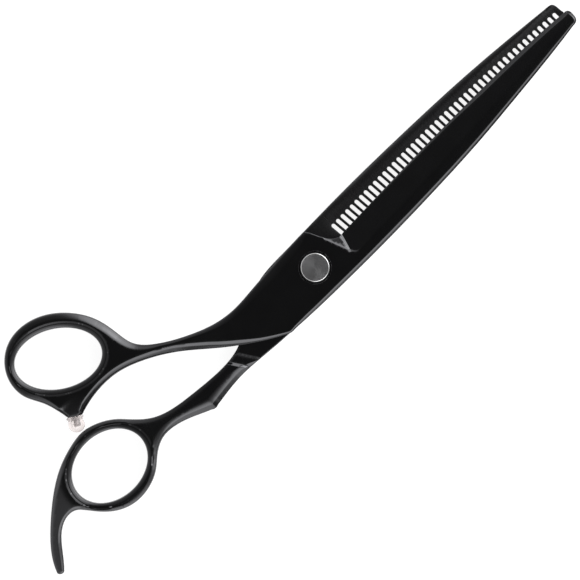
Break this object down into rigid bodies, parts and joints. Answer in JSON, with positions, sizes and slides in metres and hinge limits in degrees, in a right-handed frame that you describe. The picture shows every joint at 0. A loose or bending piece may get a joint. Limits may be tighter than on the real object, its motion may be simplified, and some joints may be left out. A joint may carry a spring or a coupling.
{
  "type": "thinning shears",
  "caption": "Offset hair-thinning shears: one plain and one toothed blade on a tension pivot, two finger rings with a stop bumper and a curved finger rest.",
  "frame": {"origin": "on the pivot axis, in the plane of the toothed half's flat back face", "axes": "+Y along the closed blades to their tips, +Z out of the front along the pivot, past the bolt head, +X to the plain blade's spine"},
  "size_m": [0.0512, 0.1893, 0.0076],
  "materials": {
    "black_blade": "gloss black coated blade steel",
    "black_handle": "gloss black coated handle steel",
    "bright_steel": "turned bright steel",
    "spring_steel": "spring steel",
    "bronze": "plain bearing bronze",
    "slide_plastic": "low-friction plastic",
    "clear_plastic": "clear soft plastic"
  },
  "bodies": {
    "toothed_half": {"toothed_blade": "black_blade", "toothed_handle": "black_handle", "pivot_bush": "bronze", "ride_washer": "slide_plastic"},
    "plain_half": {"plain_blade": "black_blade", "plain_handle": "black_handle", "pivot_bolt": "bright_steel", "seat_washer": "slide_plastic", "key_washer": "bright_steel", "spring_washer": "spring_steel", "bumper_stud": "bright_steel", "bumper_cap": "clear_plastic"},
    "nut": {"tension_nut": "bright_steel"}
  },
  "joints": [
    {"name": "pivot", "type": "hinge", "parent": "toothed_half", "child": "plain_half", "pos_m": [0, 0, 0.0035], "axis": [0, 0, -1], "range_deg": [0, 136]},
    {"name": "tension", "type": "hinge", "parent": "plain_half", "child": "nut", "pos_m": [0, 0, 0.0006], "axis": [0, 0, -1], "range_deg": [-90, 90]}
  ]
}
